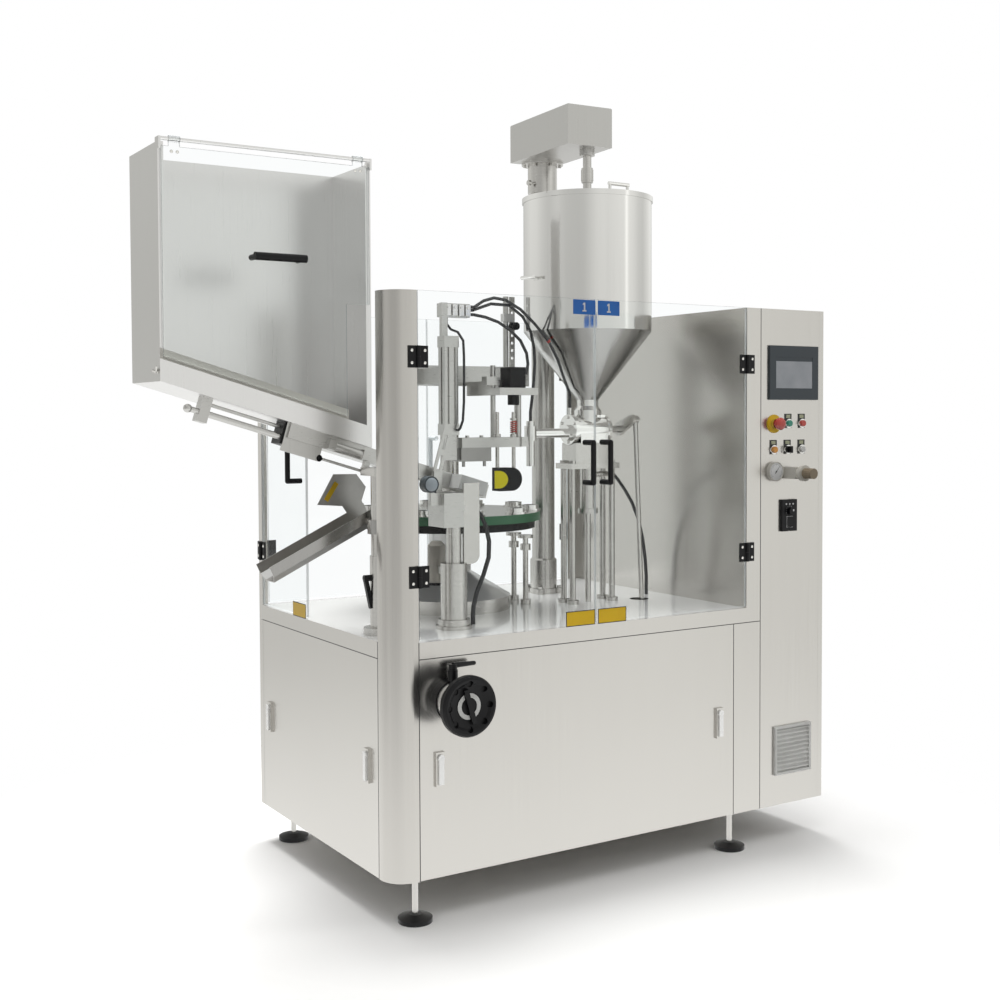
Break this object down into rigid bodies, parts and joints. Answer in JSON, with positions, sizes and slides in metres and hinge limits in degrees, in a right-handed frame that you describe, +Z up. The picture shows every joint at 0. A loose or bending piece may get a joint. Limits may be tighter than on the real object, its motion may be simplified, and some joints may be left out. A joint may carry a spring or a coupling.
{
  "type": "tube filling machine",
  "caption": "Rotary tube filling machine on levelling feet with an acrylic guard, tube magazine, mixed product hopper, turntable of tube cups and an electrical control cabinet.",
  "frame": {"origin": "middle of the machine's footprint, on the floor under the foot pads", "axes": "+X to the right seen from the operator's side, towards the control cabinet; +Y to the back; +Z up"},
  "size_m": [2.166, 1.127, 2.415],
  "materials": {
    "brushed_stainless": "vertical brushed grain",
    "satin_stainless": "fine satin",
    "polished_stainless": "mirror polished",
    "machined_steel": "turned and ground",
    "aluminium": "natural anodised",
    "acrylic": "clear, polished edges",
    "black_plastic": "moulded, fine texture",
    "black_paint": "satin black",
    "grey_paint": "hammered grey",
    "green_plastic": "machined sheet",
    "white_plastic": "machined acetal",
    "ivory_plastic": "moulded",
    "red_plastic": "gloss",
    "green_button": "gloss",
    "orange_button": "gloss",
    "white_button": "gloss",
    "tan_plastic": "moulded",
    "hose_rubber": "smooth polyurethane"
  },
  "bodies": {
    "machine": {"levelling_feet": "black_plastic", "base_frame": "brushed_stainless", "base_panels": "brushed_stainless", "table_top": "brushed_stainless", "corner_column": "satin_stainless", "rear_post": "brushed_stainless", "side_wall": "brushed_stainless", "hinge_leaves": "black_plastic", "cabinet_shell": "brushed_stainless", "vent_louver": "ivory_plastic", "touch_panel": "black_plastic", "control_bezels": "polished_stainless", "air_regulator": "ivory_plastic", "speed_controller": "black_plastic", "hopper": "polished_stainless", "hopper_cone": "polished_stainless", "hopper_neck": "polished_stainless", "main_column": "machined_steel", "mixer_housing": "brushed_stainless", "filling_valve": "polished_stainless", "metering_pump": "machined_steel", "turntable_base": "grey_paint", "station_frame": "aluminium", "tube_magazine": "brushed_stainless", "feed_rail": "aluminium", "discharge_chute": "brushed_stainless", "air_hoses": "hose_rubber", "drive_unit": "grey_paint"},
    "front_left_door": {"front_left_door": "acrylic", "front_left_fittings": "black_plastic"},
    "front_right_door": {"front_right_door": "acrylic", "front_right_fittings": "black_plastic"},
    "side_door": {"side_door": "acrylic"},
    "rear_left_door": {"rear_left_door": "acrylic"},
    "rear_right_door": {"rear_right_door": "acrylic"},
    "cabinet_door": {"cabinet_door": "brushed_stainless"},
    "magazine_cover": {"magazine_cover": "acrylic"},
    "hopper_lid": {"hopper_lid": "polished_stainless"},
    "turntable": {"turntable": "green_plastic", "tube_cups": "white_plastic"},
    "tube_lifters": {"tube_lifters": "machined_steel"},
    "sealing_head": {"sealing_head": "machined_steel"},
    "handwheel": {"handwheel": "black_plastic"},
    "clamp_lever": {"clamp_lever": "black_paint"},
    "mixer_shaft": {"mixer_shaft": "machined_steel"},
    "valve_lever": {"valve_lever": "machined_steel"},
    "valve_rod": {"valve_rod": "machined_steel"},
    "pump_piston": {"pump_piston": "machined_steel"},
    "estop_button": {"estop_button": "red_plastic"},
    "start_button": {"start_button": "green_button"},
    "stop_button": {"stop_button": "red_plastic"},
    "jog_button": {"jog_button": "orange_button"},
    "reset_button": {"reset_button": "white_button"},
    "selector_knob": {"selector_knob": "black_plastic"},
    "regulator_knob": {"regulator_knob": "tan_plastic"},
    "speed_knob": {"speed_knob": "black_plastic"},
    "front_left_latch": {"front_left_latch": "machined_steel"},
    "front_right_latch": {"front_right_latch": "machined_steel"},
    "side_rear_latch": {"side_rear_latch": "machined_steel"},
    "side_front_latch": {"side_front_latch": "machined_steel"}
  },
  "joints": [
    {"name": "front_left_door_hinge", "type": "hinge", "parent": "machine", "child": "front_left_door", "pos_m": [-0.4505, -0.446, 1.27], "axis": [0, 0, 1], "range_deg": [-110, 0]},
    {"name": "front_right_door_hinge", "type": "hinge", "parent": "machine", "child": "front_right_door", "pos_m": [0.7425, -0.446, 1.27], "axis": [0, 0, 1], "range_deg": [0, 110]},
    {"name": "side_door_hinge", "type": "hinge", "parent": "machine", "child": "side_door", "pos_m": [-0.5445, 0.48, 1.27], "axis": [0, 0, 1], "range_deg": [-100, 0]},
    {"name": "rear_left_door_hinge", "type": "hinge", "parent": "machine", "child": "rear_left_door", "pos_m": [-0.5075, 0.517, 1.27], "axis": [0, 0, 1], "range_deg": [0, 110]},
    {"name": "rear_right_door_hinge", "type": "hinge", "parent": "machine", "child": "rear_right_door", "pos_m": [0.7015, 0.517, 1.27], "axis": [0, 0, 1], "range_deg": [-110, 0]},
    {"name": "cabinet_door_hinge", "type": "hinge", "parent": "machine", "child": "cabinet_door", "pos_m": [1.063, 0.5155, 0.94], "axis": [0, 0, 1], "range_deg": [0, 110]},
    {"name": "magazine_cover_hinge", "type": "hinge", "parent": "machine", "child": "magazine_cover", "pos_m": [-0.774, -0.1945, 2.137], "axis": [1, 0, 0], "range_deg": [-90, 0]},
    {"name": "hopper_lid_hinge", "type": "hinge", "parent": "machine", "child": "hopper_lid", "pos_m": [0.412, -0.0945, 2.1293], "axis": [1, 0, 0], "range_deg": [-85, 0]},
    {"name": "turntable_spin", "type": "hinge", "parent": "machine", "child": "turntable", "pos_m": [-0.041, 0.1065, 1.08], "axis": [0, 0, 1], "continuous": true},
    {"name": "handwheel_spin", "type": "hinge", "parent": "machine", "child": "handwheel", "pos_m": [-0.36, -0.4395, 0.622], "axis": [0, 1, 0], "continuous": true},
    {"name": "mixer_spin", "type": "hinge", "parent": "machine", "child": "mixer_shaft", "pos_m": [0.412, -0.0295, 2.2], "axis": [0, 0, 1], "continuous": true},
    {"name": "valve_lever_turn", "type": "hinge", "parent": "machine", "child": "valve_lever", "pos_m": [0.543, -0.0295, 1.362], "axis": [1, 0, 0], "range_deg": [-30, 0]},
    {"name": "valve_rod_pin", "type": "hinge", "parent": "valve_lever", "child": "valve_rod", "pos_m": [0.557, -0.0995, 1.395], "axis": [1, 0, 0], "range_deg": [0, 30]},
    {"name": "pump_piston_stroke", "type": "slide", "parent": "machine", "child": "pump_piston", "axis": [0, 0, 1], "range_m": [0, 0.06]},
    {"name": "tube_lifter_stroke", "type": "slide", "parent": "machine", "child": "tube_lifters", "axis": [0, 0, 1], "range_m": [0, 0.03]},
    {"name": "sealing_head_stroke", "type": "slide", "parent": "machine", "child": "sealing_head", "axis": [0, 0, 1], "range_m": [0, 0.04]},
    {"name": "clamp_lever_turn", "type": "hinge", "parent": "machine", "child": "clamp_lever", "pos_m": [-0.36, -0.4645, 0.708], "axis": [0, 0, 1], "range_deg": [-80, 0]},
    {"name": "estop_press", "type": "slide", "parent": "machine", "child": "estop_button", "axis": [0, 1, 0], "range_m": [0, 0.004], "stiffness_N_per_m": 500},
    {"name": "start_press", "type": "slide", "parent": "machine", "child": "start_button", "axis": [0, 1, 0], "range_m": [0, 0.003], "stiffness_N_per_m": 500},
    {"name": "stop_press", "type": "slide", "parent": "machine", "child": "stop_button", "axis": [0, 1, 0], "range_m": [0, 0.003], "stiffness_N_per_m": 500},
    {"name": "jog_press", "type": "slide", "parent": "machine", "child": "jog_button", "axis": [0, 1, 0], "range_m": [0, 0.003], "stiffness_N_per_m": 500},
    {"name": "reset_press", "type": "slide", "parent": "machine", "child": "reset_button", "axis": [0, 1, 0], "range_m": [0, 0.003], "stiffness_N_per_m": 500},
    {"name": "selector_turn", "type": "hinge", "parent": "machine", "child": "selector_knob", "pos_m": [0.92, -0.4395, 1.295], "axis": [0, 1, 0], "range_deg": [-45, 45]},
    {"name": "regulator_turn", "type": "hinge", "parent": "machine", "child": "regulator_knob", "pos_m": [0.923, -0.5295, 1.219], "axis": [0, 1, 0], "range_deg": [0, 720]},
    {"name": "speed_turn", "type": "hinge", "parent": "machine", "child": "speed_knob", "pos_m": [0.924, -0.4545, 1.093], "axis": [0, 1, 0], "range_deg": [0, 270]},
    {"name": "front_left_latch_turn", "type": "hinge", "parent": "machine", "child": "front_left_latch", "pos_m": [-0.39, -0.4395, 0.462], "axis": [0, 1, 0], "range_deg": [0, 90]},
    {"name": "front_right_latch_turn", "type": "hinge", "parent": "machine", "child": "front_right_latch", "pos_m": [0.628, -0.4395, 0.462], "axis": [0, 1, 0], "range_deg": [0, 90]},
    {"name": "side_rear_latch_turn", "type": "hinge", "parent": "machine", "child": "side_rear_latch", "pos_m": [-0.538, 0.4195, 0.462], "axis": [1, 0, 0], "range_deg": [0, 90]},
    {"name": "side_front_latch_turn", "type": "hinge", "parent": "machine", "child": "side_front_latch", "pos_m": [-0.538, -0.2965, 0.462], "axis": [1, 0, 0], "range_deg": [0, 90]}
  ],
  "couplings": [
    {"joint": "handwheel_spin", "follows": "turntable_spin", "ratio": 10},
    {"joint": "valve_rod_pin", "follows": "valve_lever_turn", "ratio": -1}
  ]
}
